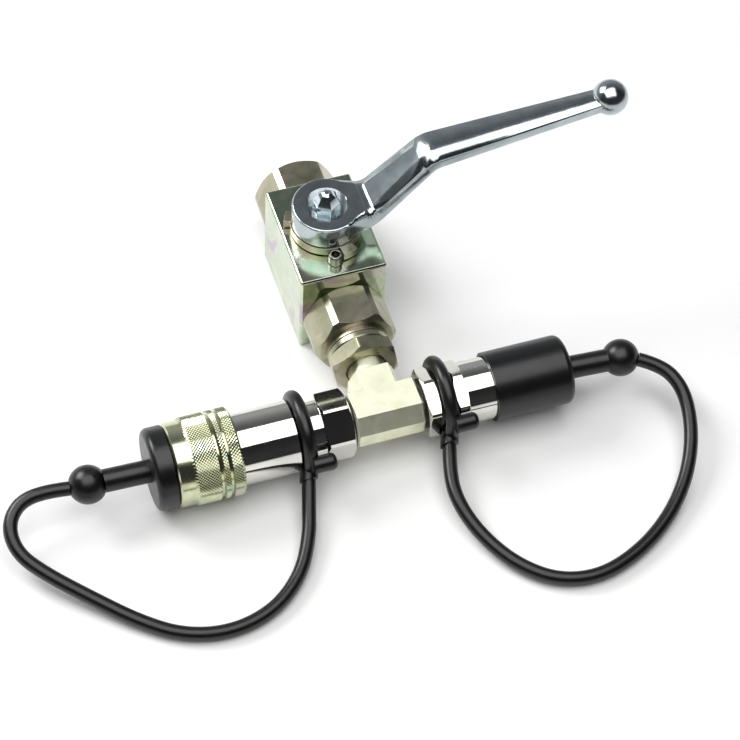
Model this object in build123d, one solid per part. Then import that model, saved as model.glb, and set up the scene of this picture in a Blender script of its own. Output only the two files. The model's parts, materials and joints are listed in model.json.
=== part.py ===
from build123d import *
from math import atan2, cos, degrees, pi, radians, sin, sqrt, tan
import os

# A bleed valve: a block ball valve on the branch of a tee, with a female quick coupling on the tee's left
# end and a male quick coupling on its right end. Both couplings are closed by tethered rubber covers.
# Millimetres, +Z up. The origin is on the block's foot, under the lever's stem.
# The valve's flow axis runs along Y, with the inlet at +Y, and the tee's run axis runs along X.

# Clearances
running_gap = 0.05
thread_gap = 0.05
loose_gap = 0.3
stop_gap = 0.1

# Valve block
block_width = 35.0
block_length = 48.0
block_height = 40.0
block_edge = 0.7
port_height = 17.3
flow_bore = 13.0

# Ball, seats and the chamber that holds them
ball_diameter = 22.0
ball_slot_width = 6.0
ball_slot_depth = 3.2
chamber_play = 1.0
chamber_half_length = 14.0
seat_length = 5.0
seat_back_inset = 0.5

# End connectors, one at each end of the block
connector_thread = 27.0
connector_nose_gap = 0.1
connector_hex = 30.0
connector_corner_diameter = 33.2
connector_length = 17.5
connector_chamfer = 1.6
port_thread_bore = 18.6
port_thread_depth = 15.0
connector_ring_section = 1.7
connector_ring_groove_depth = 1.75
connector_ring_groove_width = 2.0

# Stem
stem_diameter = 12.0
stem_flange_diameter = 15.6
stem_flange_thickness = 2.0
stem_flange_lift = 1.3
stem_neck_diameter = 10.0
stem_square = 9.0
stem_stud_diameter = 6.0
thrust_washer_thickness = 0.8
stem_ring_section = 1.0
stem_ring_groove_depth = 1.05
stem_ring_groove_width = 1.2

# Stop disc and stop pin
disc_lift = 0.5
disc_thickness = 3.6
disc_diameter = 28.0
lobe_reach = 17.8
far_lobe_reach = 16.4
lobe_angle = 20.0
pin_radius_from_stem = 17.0
pin_diameter = 5.5
pin_wall = 1.1
pin_proud = 4.6
pin_depth = 3.2
pin_angle = -95.0
lever_turn = 90.0

# Lever
hub_lift = 0.5
hub_thickness = 9.8
hub_diameter = 27.0
hub_recess_diameter = 16.5
hub_recess_depth = 5.0
hub_edge = 0.9
hub_blend_radius = 30.0
arm_start_x = 5.0
arm_root_half_width = 8.7
arm_bend_1_x = 16.8
arm_bend_2_x = 40.1
arm_bend_2_half_width = 7.4
arm_bend_2_rise = 23.2
arm_bend_radius = 9.0
arm_end_rise = 30.6
arm_end_half_width = 4.3
arm_end_thickness = 5.0
arm_bevel_ratio = 0.33
arm_bevel_slope = 0.27
arm_under_bevel = 0.6
knob_x = 114.3
knob_rise = 30.6
knob_diameter = 14.1
nut_washer_thickness = 0.8
nut_washer_diameter = 12.5
nut_hex = 10.0
nut_hex_height = 6.2
nut_dome_height = 5.2

# Stud adapter between the valve's outlet and the tee
seal_washer_diameter = 25.0
seal_washer_thickness = 2.2
seal_washer_bore = 21.2
seal_lip = 0.9
stud_length = 12.0
collar_diameter = 25.0
collar_length = 3.2
adapter_hex = 25.0
adapter_hex_turn = 40.0
adapter_hex_length = 6.6
adapter_bore = 8.0
adapter_socket_diameter = 16.4
adapter_socket_depth = 7.0
wire_diameter = 1.2

# Tee
run_offset = 75.2
tee_half_length = 13.6
tee_flat_width = 12.4
tee_width = 20.8
tee_height = 20.0
tee_side_height = 6.0
tee_branch_reach = 15.6
tee_branch_width = 19.0
tee_tail_diameter = 15.2
tee_end_chamfer = 0.8
tee_bore = 8.0
tee_port_bore = 15.2
tee_port_depth = 8.0

# Parts that both couplings share
nipple_nose_diameter = 20.0
tail_seal_diameter = 19.6
tail_seal_thickness = 1.0
coupling_hex = 24.0
coupling_hex_chamfer = 0.8
coupling_corner_cut = 0.8
tail_bore = 8.0
neck_diameter = 22.8
tether_loop_diameter = 28.4
tether_cord_diameter = 5.5

# Female coupling, with its lengths counted away from the tee
socket_hex_length = 11.4
socket_hex_turn = 22.0
socket_neck_length = 10.4
socket_body_length = 22.4
socket_spigot_length = 9.6
socket_spigot_diameter = 21.0
socket_chamber_bore = 16.0
socket_spring_bore = 15.2
socket_guide_length = 2.0
barrel_length = 25.0
barrel_wall = 2.6
nose_fit = 0.1
socket_web_depth = 29.5
socket_web_thickness = 3.0
socket_web_bore = 11.0
socket_ring_depth = 19.0
socket_ring_section = 1.7
socket_ring_groove_depth = 1.8
socket_ring_groove_width = 2.1
ball_count = 8
lock_ball_diameter = 4.0
lock_ball_depth = 7.6
lock_ball_intrusion = 1.4

# Sliding sleeve of the female coupling
sleeve_wall = 2.85
sleeve_length = 25.4
sleeve_front_overhang = 1.0
sleeve_travel = 5.0
sleeve_skirt_clearance = 0.1
sleeve_ridge_lead = 0.6
sleeve_ridge_length = 5.5
sleeve_relief_depth = 1.4
sleeve_lip_clearance = 0.8
sleeve_plain_length = 7.4
sleeve_step = 0.7
sleeve_ramp = 1.5
sleeve_front_bevel = 1.0
sleeve_back_bevel = 1.2
sleeve_groove_depth = 1.0
sleeve_groove_width = 1.5
sleeve_groove_1 = 16.8
sleeve_groove_2 = 20.1
stop_wire_diameter = 1.3
spring_wire_diameter = 1.1
spring_side_gap = 0.225
sleeve_spring_turns = 6

# Check valves inside the couplings
poppet_head_length = 3.0
socket_poppet_nose = 5.5
poppet_head_clearance = 0.9
poppet_nose_clearance = 0.3
poppet_stem_diameter = 5.0
poppet_ring_section = 1.2
poppet_spring_wire = 1.0
poppet_spring_turns = 6
guide_hole_diameter = 2.6
guide_hole_circle = 8.6
guide_hole_count = 4

# Male coupling, with its lengths counted away from the tee
nipple_hex_length = 5.4
nipple_hex_turn = 30.0
nipple_neck_length = 6.0
nipple_collar_length = 5.2
nipple_collar_diameter = 27.0
nipple_collar_chamfer = 0.8
nipple_body_length = 13.0
nipple_body_diameter = 24.4
nipple_nose_length = 24.0
nipple_groove_depth = 1.4
nipple_groove_width = 4.4
nipple_groove_offset = 9.0
nipple_spigot_length = 8.0
nipple_spigot_diameter = 17.0
nipple_bore = 14.0
nipple_web_bore = 9.0
nipple_web_inset = 7.0
nipple_poppet_inset = 0.5
nipple_web_thickness = 2.6

# Rubber plug for the female coupling
plug_flange_inset = 1.0
plug_flange_length = 7.6
plug_flange_round = 2.6
plug_lip_length = 3.6
plug_depth = 15.0
plug_bead_reach = 116.0
plug_bead_rise = 0.8
plug_bead_diameter = 15.0

# Rubber cap for the male coupling
cap_wall = 3.3
cap_mouth = 42.0
cap_length = 31.6
cap_end_wall = 3.4
cap_end_round = 2.6
cap_bead_reach = 96.2
cap_bead_rise = -1.5
cap_bead_diameter = 14.6
tail_neck_diameter = 9.0
cord_seat = 0.15
loop_side_gap = 0.15

# Tether loops: where each closes on itself, and the stub that stands out beside it
plug_loop_x = -33.4
cap_loop_x = 23.0
knot_diameter = 7.0
knot_length = 6.5
plug_stub_angle = 8.0
cap_stub_angle = 17.0
stub_offset = 2.9
stub_diameter = 6.6
stub_length = 9.0

# Tether routes, from the bead to the knot of the loop, as the photograph shows them end to end
plug_cord_route = [
    (-122.8, -74.2, 17.3),
    (-133.0, -72.6, 17.2),
    (-143.0, -74.2, 15.6),
    (-148.6, -81.8, 13.2),
    (-147.6, -92.6, 10.8),
    (-139.5, -102.6, 8.4),
    (-126.5, -115.0, 5.8),
    (-112.0, -128.8, 3.8),
    (-97.5, -139.0, 2.9),
    (-80.0, -142.8, 2.8),
    (-62.4, -138.4, 2.9),
    (-48.8, -127.0, 3.6),
    (-41.2, -112.6, 5.2),
    (-37.9, -101.4, 7.5),
    (-35.2, -92.4, 10.8),
]
cap_cord_route = [
    (102.7, -79.2, 16.9),
    (110.6, -83.6, 15.7),
    (115.4, -92.4, 13.6),
    (115.2, -104.0, 11.0),
    (110.8, -118.0, 8.2),
    (102.8, -131.5, 5.4),
    (91.0, -143.8, 3.6),
    (76.0, -153.6, 2.8),
    (58.4, -159.6, 2.9),
    (42.0, -156.8, 3.2),
    (29.2, -146.2, 4.2),
    (20.6, -131.8, 5.8),
    (16.4, -116.8, 7.6),
    (17.2, -103.8, 9.0),
    (21.0, -92.4, 10.8),
]

# Places worked out from the sizes above
ball_radius = ball_diameter / 2
chamber_radius = ball_radius + chamber_play
seat_back = ball_radius - seat_back_inset
seat_front = seat_back - seat_length
block_half = block_length / 2
connector_end = block_half + connector_length
thread_radius = connector_thread / 2
stem_radius = stem_diameter / 2
flange_base = port_height + ball_radius + stem_flange_lift
flange_top = flange_base + stem_flange_thickness
pocket_top = flange_top + thrust_washer_thickness
stem_ring_height = (pocket_top + block_height) / 2
disc_base = block_height + disc_lift
disc_top = disc_base + disc_thickness
hub_base = disc_top + hub_lift
hub_top = hub_base + hub_thickness
hub_floor = hub_top - hub_recess_depth
nut_base = hub_floor + nut_washer_thickness
nut_top = nut_base + nut_hex_height
square_radius = stem_square / 2 * 1.28
pin_radius = pin_diameter / 2
seal_start = connector_end
collar_start = seal_start + seal_washer_thickness
adapter_hex_start = collar_start + collar_length
adapter_end = adapter_hex_start + adapter_hex_length
tail_end = adapter_end - adapter_socket_depth
hex_start = tee_half_length + tail_seal_thickness
neck_radius = neck_diameter / 2
loop_radius = tether_loop_diameter / 2
cord_radius = tether_cord_diameter / 2

flow_place = Pos(0, 0, port_height) * Rot(0, 0, 90)
outlet_place = Pos(0, 0, port_height) * Rot(0, 0, -90)
stem_place = Rot(0, -90, 0)
right_place = Pos(0, -run_offset, port_height)
left_place = Pos(0, -run_offset, port_height) * Rot(0, 0, 180)


def turned(points):
    """A solid of revolution about local X, from its outline as (station, radius)."""
    return revolve(make_face(Polyline(*points, close=True)), Axis.X)


def tube(start, end, outer, inner):
    """A plain ring or bush about local X, from its two radii."""
    return turned([(start, inner), (end, inner), (end, outer), (start, outer)])


def rod(start, end, radius):
    """A plain cylinder about local X."""
    return turned([(start, 0), (end, 0), (end, radius), (start, radius)])


def ring(station, mean_radius, section):
    """A round ring about local X, such as an O-ring or a snap wire."""
    spot = Plane.XY * Pos(station, mean_radius) * Circle(section / 2)
    return revolve(spot, Axis.X)


def hex_bar(across_flats, start, end, turn, corner_diameter, chamfer_length):
    """A hexagon along local X whose corners are turned down and whose ends are chamfered."""
    outline = Plane.YZ * Rot(0, 0, turn) * RegularPolygon(across_flats / 2, 6, major_radius=False)
    bar = Pos(start, 0, 0) * extrude(outline, end - start)
    corner = corner_diameter / 2
    flat = across_flats / 2
    envelope = turned([
        (start, 0),
        (end, 0),
        (end, flat - 0.2),
        (end - chamfer_length, corner),
        (start + chamfer_length, corner),
        (start, flat - 0.2),
    ])
    return bar & envelope


def coil(start, end, mean_radius, wire, turns):
    """A compression spring about local X with open ends."""
    length = end - start - wire
    path = Helix(length / turns, length, mean_radius)
    begin = path @ 0
    section = Plane(origin=begin, z_dir=path % 0) * Circle(wire / 2)
    spring = sweep(section, path, is_frenet=True)
    return Pos(start + wire / 2, 0, 0) * Rot(0, 90, 0) * spring


def between(start, end, radius):
    """A cylinder from one point to another."""
    start = Vector(*start)
    end = Vector(*end)
    plane = Plane(origin=start, z_dir=end - start)
    return extrude(plane * Circle(radius), (end - start).length)


def stem_square_bar(low, high, half):
    """The square part of the stem with its corners turned down, or the hole that it fits."""
    bar = Pos(0, 0, (low + high) / 2) * Box(2 * half, 2 * half, high - low)
    return bar & (stem_place * rod(low, high, square_radius + half - stem_square / 2))


def make_valve_body():
    block = Pos(0, 0, block_height / 2) * Box(block_width, block_length, block_height)
    block = chamfer(block.edges(), block_edge)
    chamber = flow_place * rod(-chamber_half_length, chamber_half_length, chamber_radius)
    threads = flow_place * rod(-block_length, block_length, thread_radius)
    middle = flow_place * rod(-chamber_half_length, chamber_half_length, block_height)
    threads = threads - middle
    pocket = stem_place * rod(port_height, pocket_top, stem_flange_diameter / 2 + running_gap)
    bore = stem_place * rod(port_height, block_height + 1, stem_radius + running_gap)
    pin_hole = pin_place(block_height - pin_depth) * Cylinder(
        pin_radius, pin_depth + 1, align=(Align.CENTER, Align.CENTER, Align.MIN)
    )
    return block - chamber - threads - pocket - bore - pin_hole


def pin_place(height):
    angle = radians(pin_angle)
    return Pos(pin_radius_from_stem * cos(angle), pin_radius_from_stem * sin(angle), height)


def make_ball():
    ball = Pos(0, 0, port_height) * Sphere(ball_radius)
    hole = Pos(0, 0, port_height) * rod(-ball_diameter, ball_diameter, flow_bore / 2)
    slot_base = port_height + ball_radius - ball_slot_depth
    slot = Pos(0, 0, slot_base + ball_slot_depth) * Box(
        ball_slot_width, ball_diameter, 2 * ball_slot_depth
    )
    return ball - hole - slot


def make_seat():
    """A seat ring whose face follows the ball."""
    face = ball_radius + running_gap
    outer = chamber_radius - running_gap
    bore = flow_bore / 2
    rim_start = (seat_front, sqrt(face**2 - seat_front**2))
    rim_end = (sqrt(face**2 - bore**2), bore)
    middle_radius = (rim_start[1] + bore) / 2
    rim_middle = (sqrt(face**2 - middle_radius**2), middle_radius)
    curve = ThreePointArc(rim_start, rim_middle, rim_end)
    sides = Polyline(rim_end, (seat_back, bore), (seat_back, outer), (seat_front, outer), rim_start)
    return revolve(make_face(curve + sides), Axis.X)


def make_connector():
    nose = chamber_radius - connector_nose_gap
    thread = thread_radius - thread_gap
    groove_base = nose - connector_ring_groove_depth
    groove_start = seat_back + (chamber_half_length - seat_back - connector_ring_groove_width) / 2
    shank = turned([
        (seat_back, flow_bore / 2),
        (connector_end - 1, flow_bore / 2),
        (connector_end - 1, port_thread_bore / 2 + 1),
        (block_half, port_thread_bore / 2 + 1),
        (block_half, thread),
        (chamber_half_length, thread),
        (chamber_half_length, nose),
        (groove_start + connector_ring_groove_width, nose),
        (groove_start + connector_ring_groove_width, groove_base),
        (groove_start, groove_base),
        (groove_start, nose),
        (seat_back, nose),
    ])
    head = hex_bar(
        connector_hex, block_half, connector_end, 0, connector_corner_diameter, connector_chamfer
    )
    bore = rod(seat_back - 1, connector_end + 1, flow_bore / 2)
    port = turned([
        (connector_end - port_thread_depth, 0),
        (connector_end + 1, 0),
        (connector_end + 1, port_thread_bore / 2),
        (connector_end - port_thread_depth, port_thread_bore / 2),
    ])
    return shank + head - bore - port


def make_connector_ring():
    groove_base = chamber_radius - connector_nose_gap - connector_ring_groove_depth
    middle = seat_back + (chamber_half_length - seat_back) / 2
    mean = groove_base + connector_ring_section / 2 + running_gap
    return ring(middle, mean, connector_ring_section)


def make_stem():
    slot_base = port_height + ball_radius - ball_slot_depth + loose_gap
    neck_base = port_height + ball_radius + loose_gap
    tang_width = ball_slot_width - 2 * running_gap
    tang = Pos(0, 0, (slot_base + flange_base) / 2) * Box(
        tang_width, stem_neck_diameter, flange_base - slot_base
    )
    tang = tang & (stem_place * rod(slot_base, flange_base, stem_neck_diameter / 2))
    neck = stem_place * rod(neck_base, flange_base, stem_neck_diameter / 2)
    flange = stem_place * rod(flange_base, flange_top, stem_flange_diameter / 2)
    groove_top = stem_ring_height + stem_ring_groove_width / 2
    groove_low = stem_ring_height - stem_ring_groove_width / 2
    shaft = stem_place * turned([
        (flange_top, 0),
        (disc_base - disc_lift / 2, 0),
        (disc_base - disc_lift / 2, stem_radius),
        (groove_top, stem_radius),
        (groove_top, stem_radius - stem_ring_groove_depth),
        (groove_low, stem_radius - stem_ring_groove_depth),
        (groove_low, stem_radius),
        (flange_top, stem_radius),
    ])
    square = stem_square_bar(disc_base - disc_lift / 2, hub_floor, stem_square / 2)
    stud = stem_place * rod(hub_floor, nut_top, stem_stud_diameter / 2)
    return tang + neck + flange + shaft + square + stud


def make_stem_ring():
    mean = stem_radius - stem_ring_groove_depth + stem_ring_section / 2 + running_gap / 2
    return stem_place * ring(stem_ring_height, mean, stem_ring_section)


def make_thrust_washer():
    washer = tube(flange_top, pocket_top, stem_flange_diameter / 2, stem_radius + running_gap)
    return stem_place * washer


def lobe(face_angle, direction, reach):
    """One stop lobe, whose stop face touches the pin, and which spreads away from it."""
    middle = radians(face_angle + direction * lobe_angle / 2)
    sector_points = [
        (0, 0),
        (reach * 1.2 * cos(radians(face_angle)), reach * 1.2 * sin(radians(face_angle))),
        (reach * 1.5 * cos(middle), reach * 1.5 * sin(middle)),
        (
            reach * 1.2 * cos(radians(face_angle + direction * lobe_angle)),
            reach * 1.2 * sin(radians(face_angle + direction * lobe_angle)),
        ),
    ]
    sector = extrude(make_face(Polyline(*sector_points, close=True)), disc_thickness)
    round_plate = Pos(0, 0, disc_thickness / 2) * Cylinder(reach, disc_thickness)
    return Pos(0, 0, disc_base) * (sector & round_plate)


def make_stop_disc():
    half_pin = degrees(2 * atan2((pin_radius + stop_gap) / 2, pin_radius_from_stem)) + 1.0
    plate = stem_place * rod(disc_base, disc_top, disc_diameter / 2)
    first = lobe(pin_angle + half_pin, 1, lobe_reach)
    second = lobe(pin_angle - half_pin - lever_turn, -1, far_lobe_reach)
    hole = stem_square_bar(disc_base - 1, disc_top + 1, stem_square / 2 + running_gap)
    clearance = pin_radius + stop_gap
    sweep_low = pin_place(disc_base - 1) * Cylinder(
        clearance, disc_thickness + 2, align=(Align.CENTER, Align.CENTER, Align.MIN)
    )
    sweep_high = Rot(0, 0, -lever_turn) * sweep_low
    return plate + first + second - hole - sweep_low - sweep_high


def make_stop_pin():
    height = pin_depth + pin_proud
    pin = Cylinder(pin_radius, height, align=(Align.CENTER, Align.CENTER, Align.MIN))
    pin = chamfer(pin.edges().group_by(Axis.Z)[-1], 0.5)
    hole = Cylinder(pin_radius - pin_wall, height * 3)
    slit = Pos(pin_radius, 0, 0) * Box(2 * pin_radius, 0.8, height * 3)
    return pin_place(block_height - pin_depth) * (pin - hole - slit)


def between_values(x, table):
    """The value at x in a short table of (x, value), with straight lines between."""
    if x <= table[0][0]:
        return table[0][1]
    for (low_x, low), (high_x, high) in zip(table, table[1:]):
        if x <= high_x:
            return low + (high - low) * (x - low_x) / (high_x - low_x)
    return table[-1][1]


def arm_half_width(x):
    """Half the arm's width in plan: an arc that leads out of the hub, then a straight taper."""
    blend_y = arm_root_half_width + hub_blend_radius
    blend_x = sqrt((hub_diameter / 2 + hub_blend_radius) ** 2 - blend_y ** 2)
    if x < blend_x:
        return blend_y - sqrt(hub_blend_radius ** 2 - (blend_x - x) ** 2)
    return between_values(x, [
        (blend_x, arm_root_half_width),
        (arm_bend_2_x, arm_bend_2_half_width),
        (knob_x, arm_end_half_width),
    ])


def arm_section(spot, direction):
    """The arm's cross-section at one place on its middle line: bevelled above, eased below."""
    slope = atan2(arm_bend_2_rise, arm_bend_2_x - arm_bend_1_x)
    bend = arm_bend_radius * tan(slope / 2)
    half_width = arm_half_width(spot.X)
    half_thickness = between_values(spot.X, [
        (arm_bend_1_x - bend, hub_thickness / 2),
        (arm_bend_1_x + bend * cos(slope), hub_thickness / 2 * cos(slope)),
        (arm_bend_2_x, hub_thickness / 2 * cos(slope)),
        (knob_x, arm_end_thickness / 2),
    ])
    wide_bevel = 2 * half_width * arm_bevel_ratio
    bevel = between_values(spot.X, [
        (arm_start_x, hub_edge),
        (arm_bend_1_x, (hub_edge + wide_bevel) / 2),
        (arm_bend_2_x, wide_bevel),
    ])
    drop = between_values(spot.X, [
        (arm_start_x, hub_edge),
        (arm_bend_2_x, wide_bevel * arm_bevel_slope),
    ])
    plane = Plane(origin=spot, x_dir=(0, 1, 0), z_dir=direction)
    outline = Polyline(
        (half_width, arm_under_bevel - half_thickness),
        (half_width, half_thickness - drop),
        (half_width - bevel, half_thickness),
        (bevel - half_width, half_thickness),
        (-half_width, half_thickness - drop),
        (-half_width, arm_under_bevel - half_thickness),
        (arm_under_bevel - half_width, -half_thickness),
        (half_width - arm_under_bevel, -half_thickness),
        close=True,
    )
    return plane * make_face(outline)


def make_lever():
    middle_height = hub_base + hub_thickness / 2
    middle_line = FilletPolyline(
        (arm_start_x, 0, middle_height),
        (arm_bend_1_x, 0, middle_height),
        (arm_bend_2_x, 0, middle_height + arm_bend_2_rise),
        (knob_x, 0, middle_height + arm_end_rise),
        radius=arm_bend_radius,
    )
    sections = [arm_section(middle_line @ 0, middle_line % 0)]
    for index, edge in enumerate(middle_line.edges()):
        curved = index == 0 or edge.geom_type == GeomType.CIRCLE
        steps = (0.2, 0.4, 0.6, 0.8, 1.0) if curved else (1.0,)
        for step in steps:
            sections.append(arm_section(edge @ step, edge % step))
    arm = loft(sections, ruled=True)
    hub = Pos(0, 0, hub_base) * Cylinder(
        hub_diameter / 2, hub_thickness, align=(Align.CENTER, Align.CENTER, Align.MIN)
    )
    hub = chamfer(hub.edges().group_by(Axis.Z)[-1], hub_edge)
    knob = Pos(knob_x, 0, middle_height + knob_rise) * Sphere(knob_diameter / 2)
    lever = hub + arm + knob
    recess = Pos(0, 0, hub_floor) * Cylinder(
        hub_recess_diameter / 2, hub_recess_depth + 1, align=(Align.CENTER, Align.CENTER, Align.MIN)
    )
    hole = stem_square_bar(hub_base - 1, hub_floor + 1, stem_square / 2 + running_gap)
    return lever - recess - hole


def make_nut_washer():
    bore = stem_stud_diameter / 2 + 0.2
    return stem_place * tube(hub_floor, nut_base, nut_washer_diameter / 2, bore)


def make_cap_nut():
    corner = nut_hex / sqrt(3) * 2
    body = stem_place * hex_bar(nut_hex, nut_base, nut_top, 0, corner - 0.4, 0.5)
    dome_radius = nut_hex / 2 - 0.2
    dome = Pos(0, 0, nut_top) * scale(Sphere(dome_radius), (1, 1, nut_dome_height / dome_radius))
    upper = Pos(0, 0, nut_top + nut_dome_height) * Box(nut_hex * 2, nut_hex * 2, nut_dome_height * 2)
    bore = stem_place * rod(nut_base - 1, nut_top + 0.5, stem_stud_diameter / 2 + thread_gap)
    return body + (dome & upper) - bore


def make_seal_washer():
    return tube(seal_start, collar_start, seal_washer_diameter / 2, seal_washer_bore / 2)


def make_seal_washer_rubber():
    """The rubber lip that is bonded inside the metal washer."""
    inner = seal_washer_bore / 2 - seal_lip
    return tube(seal_start, collar_start, seal_washer_bore / 2, inner)


def make_stud_adapter():
    stud = rod(seal_start - stud_length, collar_start, port_thread_bore / 2 - thread_gap)
    collar = turned([
        (collar_start, 0),
        (adapter_hex_start + 0.5, 0),
        (adapter_hex_start + 0.5, collar_diameter / 2 - 1.2),
        (adapter_hex_start - 0.6, collar_diameter / 2),
        (collar_start + 0.4, collar_diameter / 2),
        (collar_start, collar_diameter / 2 - 0.4),
    ])
    corner = adapter_hex / sqrt(3) * 2
    head = hex_bar(
        adapter_hex, adapter_hex_start, adapter_end, adapter_hex_turn, corner - 0.5, 1.0
    )
    bore = rod(seal_start - stud_length - 1, adapter_end + 1, adapter_bore / 2)
    socket = rod(tail_end, adapter_end + 1, adapter_socket_diameter / 2)
    wire_groove = tube(
        adapter_end - 2 * wire_diameter,
        adapter_end - wire_diameter,
        adapter_socket_diameter / 2 + wire_diameter / 2,
        adapter_socket_diameter / 2 - 1,
    )
    return stud + collar + head - bore - socket - wire_groove


def make_retaining_wire():
    """The snap wire that holds the tee's tail in the adapter."""
    return ring(adapter_end - 1.5 * wire_diameter, adapter_socket_diameter / 2, wire_diameter - 0.1)


def make_tee():
    half = tee_height / 2
    side = tee_side_height / 2
    outline = [
        (-tee_flat_width / 2, half),
        (tee_flat_width / 2, half),
        (tee_width / 2, side),
        (tee_width / 2, -side),
        (tee_flat_width / 2, -half),
        (-tee_flat_width / 2, -half),
        (-tee_width / 2, -side),
        (-tee_width / 2, side),
    ]
    run = Pos(-tee_half_length, 0, 0) * extrude(
        Plane.YZ * make_face(Polyline(*outline, close=True)), 2 * tee_half_length
    )
    run = chamfer(run.edges().group_by(Axis.X)[0] + run.edges().group_by(Axis.X)[-1], tee_end_chamfer)
    branch_half = tee_branch_width / 2
    branch_outline = [
        (-tee_flat_width / 2, half),
        (tee_flat_width / 2, half),
        (branch_half, side),
        (branch_half, -side),
        (tee_flat_width / 2, -half),
        (-tee_flat_width / 2, -half),
        (-branch_half, -side),
        (-branch_half, side),
    ]
    branch = Rot(0, 0, 90) * extrude(
        Plane.YZ * make_face(Polyline(*branch_outline, close=True)), tee_branch_reach
    )
    body = run + branch
    local_tail = run_offset - tail_end - loose_gap
    tail = Rot(0, 0, 90) * rod(tee_branch_reach, local_tail, tee_tail_diameter / 2)
    groove_middle = run_offset - adapter_end + 1.5 * wire_diameter
    groove = Rot(0, 0, 90) * tube(
        groove_middle - wire_diameter / 2,
        groove_middle + wire_diameter / 2,
        tee_tail_diameter,
        adapter_socket_diameter / 2 - wire_diameter / 2,
    )
    bore = rod(-tee_half_length - 1, tee_half_length + 1, tee_bore / 2)
    branch_bore = Rot(0, 0, 90) * rod(0, local_tail + 1, tee_bore / 2)
    ports = rod(-tee_half_length - 1, tee_port_depth - tee_half_length, tee_port_bore / 2)
    ports = ports + rod(tee_half_length - tee_port_depth, tee_half_length + 1, tee_port_bore / 2)
    return right_place * (body + tail - groove - bore - branch_bore - ports)


def tail_thread():
    """The threaded end that both couplings screw into the tee."""
    start = tee_half_length - tee_port_depth + loose_gap
    return rod(start, hex_start + 0.5, tee_port_bore / 2 - thread_gap)


def make_tail_seal():
    return tube(tee_half_length, hex_start, tail_seal_diameter / 2, tee_port_bore / 2 - thread_gap)


def coupling_hex_bar(start, length, turn):
    corner = coupling_hex / sqrt(3) * 2 - coupling_corner_cut
    return hex_bar(coupling_hex, start, start + length, turn, corner, coupling_hex_chamfer)


socket_neck_start = hex_start + socket_hex_length
socket_body_start = socket_neck_start + socket_neck_length
socket_spigot_end = socket_body_start + socket_spigot_length
barrel_start = socket_body_start + socket_body_length
barrel_end = barrel_start + barrel_length
socket_bore = nipple_nose_diameter + 2 * nose_fit
barrel_radius = socket_bore / 2 + barrel_wall
socket_web_front = barrel_end - socket_web_depth
socket_web_back = socket_web_front - socket_web_thickness
lock_ball_station = barrel_end - lock_ball_depth
lock_ball_radius = lock_ball_diameter / 2
lock_ball_offset = socket_bore / 2 - lock_ball_intrusion + lock_ball_radius
guide_start = socket_body_start - socket_guide_length
sleeve_front = barrel_end + sleeve_front_overhang
sleeve_back = sleeve_front - sleeve_length
sleeve_skirt_radius = barrel_radius + spring_wire_diameter + 2 * spring_side_gap
socket_body_diameter = 2 * (sleeve_skirt_radius - sleeve_skirt_clearance)
sleeve_diameter = 2 * (sleeve_skirt_radius + sleeve_wall)
sleeve_relief_diameter = 2 * (barrel_radius + sleeve_relief_depth)
sleeve_lip_bore = 2 * (barrel_radius + sleeve_lip_clearance)
ridge_front = lock_ball_station + lock_ball_radius + sleeve_ridge_lead
ridge_back = ridge_front - sleeve_ridge_length
relief_front = lock_ball_station + lock_ball_radius + sleeve_travel
plug_face = sleeve_front + loose_gap


def make_socket_tail():
    chamber = socket_spring_bore / 2
    body = tail_thread() + coupling_hex_bar(hex_start, socket_hex_length, socket_hex_turn)
    neck = rod(socket_neck_start - 0.5, socket_body_start, neck_radius)
    spigot = rod(socket_body_start - 0.5, socket_spigot_end, socket_spigot_diameter / 2)
    bore = rod(0, guide_start, tail_bore / 2)
    pocket = rod(guide_start, socket_spigot_end + 1, chamber)
    return body + neck + spigot - bore - pocket


def make_socket_body():
    outer = socket_body_diameter / 2
    thread = socket_spigot_diameter / 2 + thread_gap
    wire_groove = barrel_radius - stop_wire_diameter / 2
    wire_station = ridge_front + stop_gap + stop_wire_diameter / 2
    body = turned([
        (socket_body_start, thread),
        (socket_spigot_end + loose_gap, thread),
        (socket_spigot_end + loose_gap, socket_chamber_bore / 2),
        (socket_web_back, socket_chamber_bore / 2),
        (socket_web_back, socket_web_bore / 2),
        (socket_web_front, socket_web_bore / 2),
        (socket_web_front, socket_bore / 2),
        (barrel_end - 1.0, socket_bore / 2),
        (barrel_end, socket_bore / 2 + 1.0),
        (barrel_end, barrel_radius),
        (wire_station + stop_wire_diameter / 2, barrel_radius),
        (wire_station + stop_wire_diameter / 2, wire_groove),
        (wire_station - stop_wire_diameter / 2, wire_groove),
        (wire_station - stop_wire_diameter / 2, barrel_radius),
        (barrel_start, barrel_radius),
        (barrel_start, outer),
        (socket_body_start + 0.6, outer),
        (socket_body_start, outer - 0.6),
    ])
    ring_middle = barrel_end - socket_ring_depth
    groove = tube(
        ring_middle - socket_ring_groove_width / 2,
        ring_middle + socket_ring_groove_width / 2,
        socket_bore / 2 + socket_ring_groove_depth,
        socket_bore / 2 - 1,
    )
    body = body - groove
    pocket_radius = lock_ball_radius + running_gap
    for spot in lock_ball_places():
        hole = spot * Sphere(pocket_radius)
        shaft = spot * Cylinder(
            pocket_radius, barrel_radius, align=(Align.CENTER, Align.CENTER, Align.MIN)
        )
        body = body - hole - shaft
    return body


def lock_ball_places():
    """Where the locking balls sit, with local Z pointing outwards."""
    places = []
    for index in range(ball_count):
        turn = 360 * (index + 0.5) / ball_count
        places.append(Rot(turn, 0, 0) * Pos(lock_ball_station, 0, lock_ball_offset))
    return places


def make_lock_balls():
    return Compound([spot * Sphere(lock_ball_radius) for spot in lock_ball_places()])


def make_stop_wire():
    mean = barrel_radius - stop_wire_diameter / 2 + stop_wire_diameter / 2 + 0.02
    station = ridge_front + stop_gap + stop_wire_diameter / 2
    return ring(station, mean, stop_wire_diameter - 0.02)


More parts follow.
